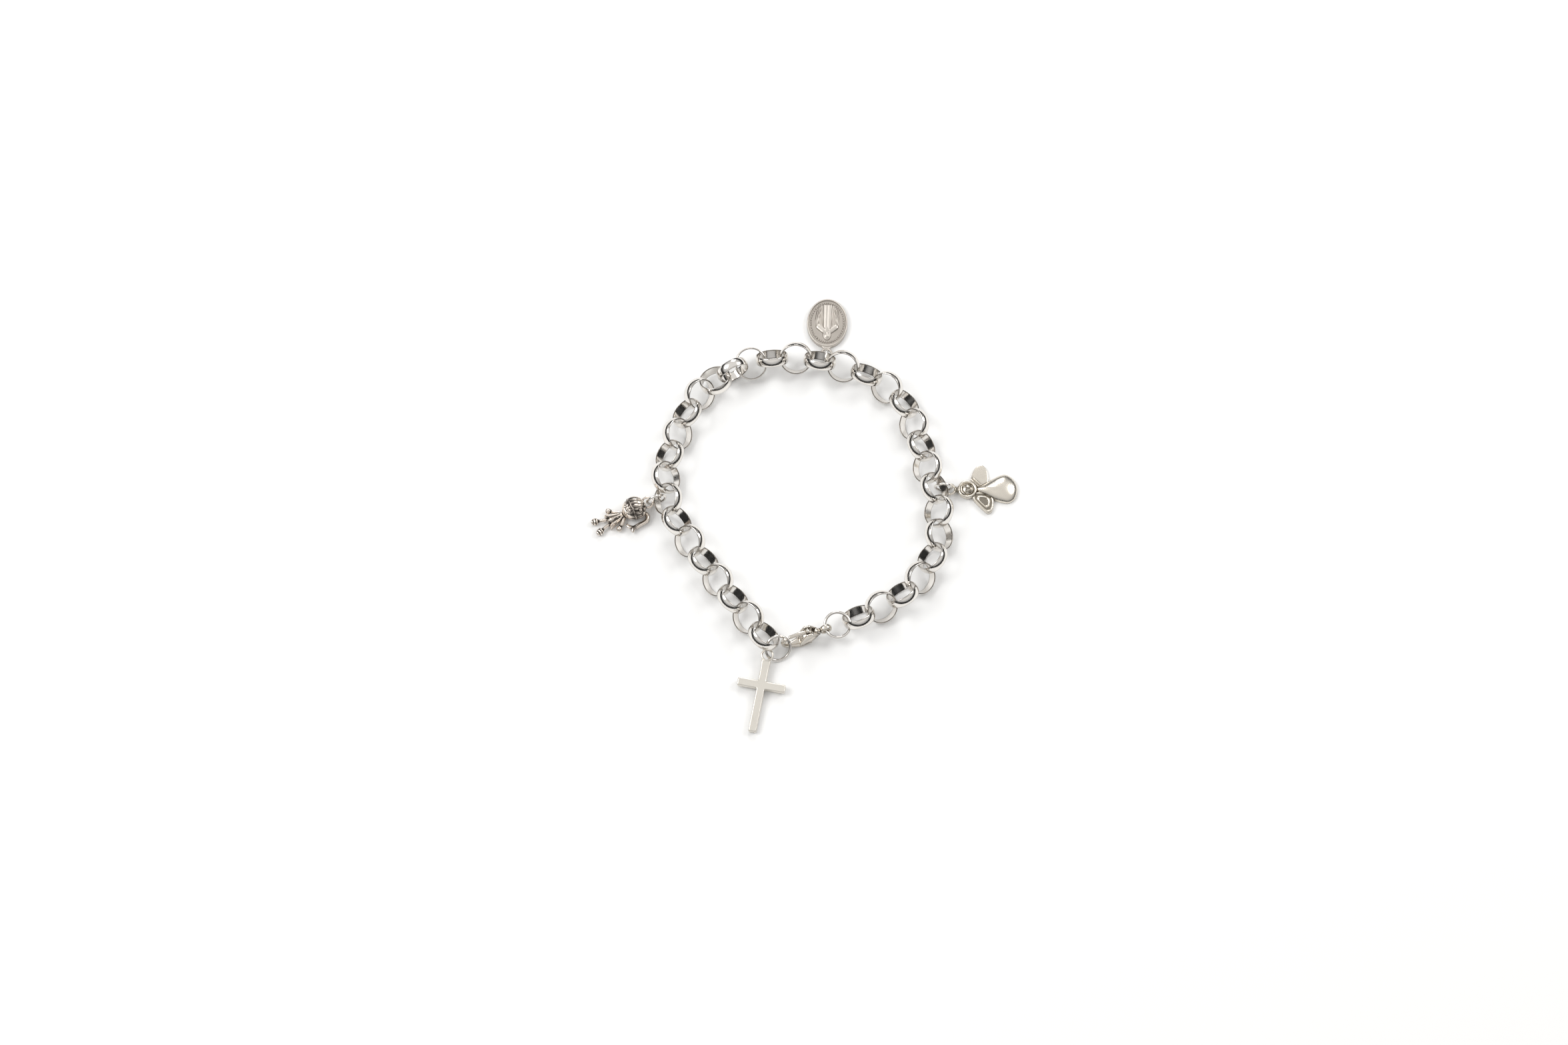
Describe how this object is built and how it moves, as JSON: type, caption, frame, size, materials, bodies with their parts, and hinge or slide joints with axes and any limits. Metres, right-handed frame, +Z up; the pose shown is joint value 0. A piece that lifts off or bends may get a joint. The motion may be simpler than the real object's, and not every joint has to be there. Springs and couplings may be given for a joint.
{
  "type": "charm bracelet",
  "caption": "Silver bracelet of interlocking round links lying as a closed loop, with a lever clasp and hanging charms: a cross, an oval medal, an angel and a girl.",
  "frame": {"origin": "middle of the bracelet's outline, on the surface it lies on", "axes": "+Z up from the surface, +X to the right of the picture, +Y away from its viewer"},
  "size_m": [0.0886, 0.097, 0.0072],
  "materials": {
    "polished_silver": "polished sterling silver",
    "cast_silver": "cast and tumbled sterling silver",
    "satin_silver": "satin sterling silver",
    "matte_silver": "matte cast sterling silver",
    "dark_silver": "cast sterling silver, darkened in its hollows"
  },
  "bodies": {
    "bracelet": {"link_01": "polished_silver", "link_02": "polished_silver", "link_03": "polished_silver", "link_04": "polished_silver", "link_05": "polished_silver", "link_06": "polished_silver", "link_07": "polished_silver", "link_08": "polished_silver", "link_09": "polished_silver", "link_10": "polished_silver", "link_11": "polished_silver", "link_12": "polished_silver", "link_13": "polished_silver", "link_14": "polished_silver", "link_15": "polished_silver", "link_16": "polished_silver", "link_17": "polished_silver", "link_18": "polished_silver", "link_19": "polished_silver", "link_20": "polished_silver", "link_21": "polished_silver", "link_22": "polished_silver", "link_23": "polished_silver", "link_24": "polished_silver", "link_25": "polished_silver", "link_26": "polished_silver", "link_27": "polished_silver", "link_28": "polished_silver", "link_29": "polished_silver", "link_30": "polished_silver", "link_31": "polished_silver", "link_32": "polished_silver", "link_33": "polished_silver", "link_34": "polished_silver", "chain_end_ring": "polished_silver", "hook_end_ring": "polished_silver", "medal_ring": "polished_silver", "angel_ring": "polished_silver", "girl_ring": "polished_silver", "clasp_body": "cast_silver", "oval_medal": "matte_silver", "angel_charm": "satin_silver", "cross_charm": "satin_silver", "girl_charm": "dark_silver"},
    "lever": {"clasp_lever": "cast_silver"}
  },
  "joints": [
    {"name": "clasp_lever_hinge", "type": "hinge", "parent": "bracelet", "child": "lever", "pos_m": [0.00068, -0.02819, 0.00425], "axis": [0.3395, -0.9406, 0], "range_deg": [0, 18], "stiffness_Nm_per_rad": 0.003, "springref_deg": -17.19}
  ]
}
